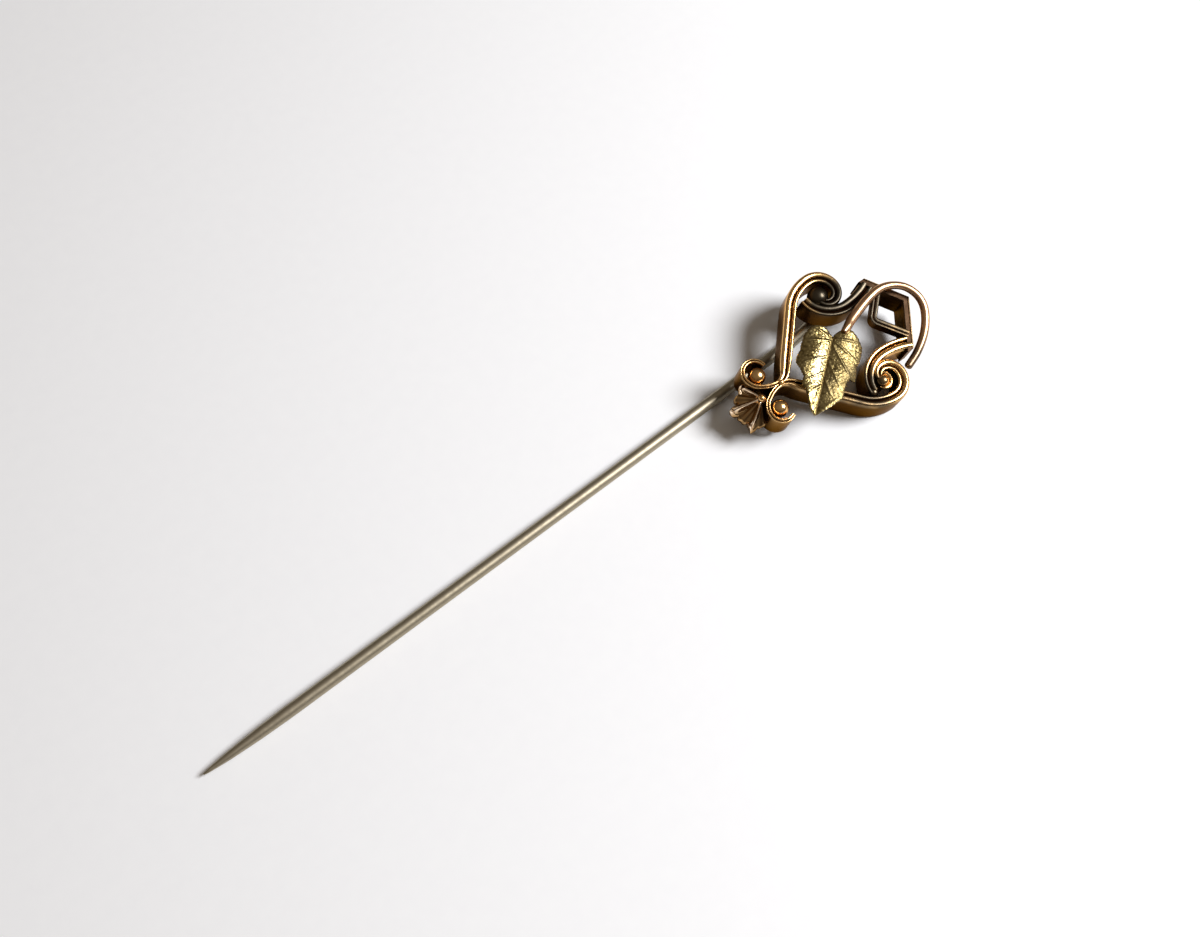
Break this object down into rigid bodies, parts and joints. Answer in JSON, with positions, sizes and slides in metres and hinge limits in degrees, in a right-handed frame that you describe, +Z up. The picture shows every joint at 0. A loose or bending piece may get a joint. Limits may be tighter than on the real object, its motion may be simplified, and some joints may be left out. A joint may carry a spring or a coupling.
{
  "type": "stick pin",
  "caption": "Scrollwork stick pin: a long round pointed stem behind a pierced cartouche of deep scroll bands with beads, a palmette, a looping tendril and a folded vine leaf.",
  "frame": {"origin": "on the surface that the pin lies on, under the middle of its bounding box", "axes": "+X along the stem from its point towards the head, +Z up, away from the surface"},
  "size_m": [0.0608, 0.0118, 0.0046],
  "materials": {
    "stem_gold": "polished gold-filled wire, lightly worn",
    "scroll_gold": "polished rose gold, tarnished in the recesses",
    "tendril_gold": "polished rose gold wire",
    "leaf_gold": "matt stippled green gold"
  },
  "bodies": {
    "root": {"pin_stem": "stem_gold", "scroll_frame": "scroll_gold", "tendril": "tendril_gold", "leaf": "leaf_gold"}
  },
  "joints": []
}
